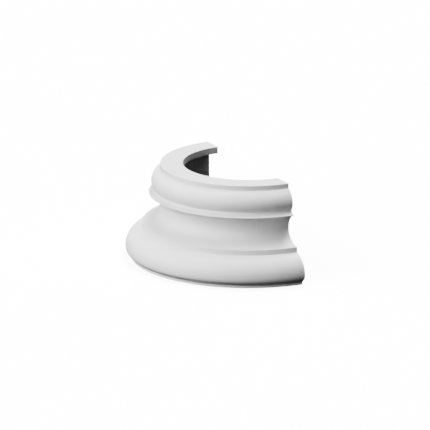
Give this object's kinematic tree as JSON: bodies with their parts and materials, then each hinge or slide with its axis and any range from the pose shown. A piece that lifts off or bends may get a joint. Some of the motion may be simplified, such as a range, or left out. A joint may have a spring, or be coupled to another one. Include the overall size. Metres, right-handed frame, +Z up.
{
  "type": "half column base",
  "caption": "Half of a round column base with two tori, a lip and a deep scotia, hollow behind a thin collar that closes round a half shaft, with a flat open back.",
  "frame": {"origin": "middle of the bounding box's underside; the column's axis stands in the flat back's plane, 105.25 mm from the origin towards +Y", "axes": "+X along the flat back, +Y out of the flat back towards the wall, +Z up; the mouldings swell towards -Y"},
  "size_m": [0.421, 0.2106, 0.165],
  "materials": {
    "primed_white": "matte white primer over cast rigid foam"
  },
  "bodies": {
    "root": {"half_column_base": "primed_white"}
  },
  "joints": []
}
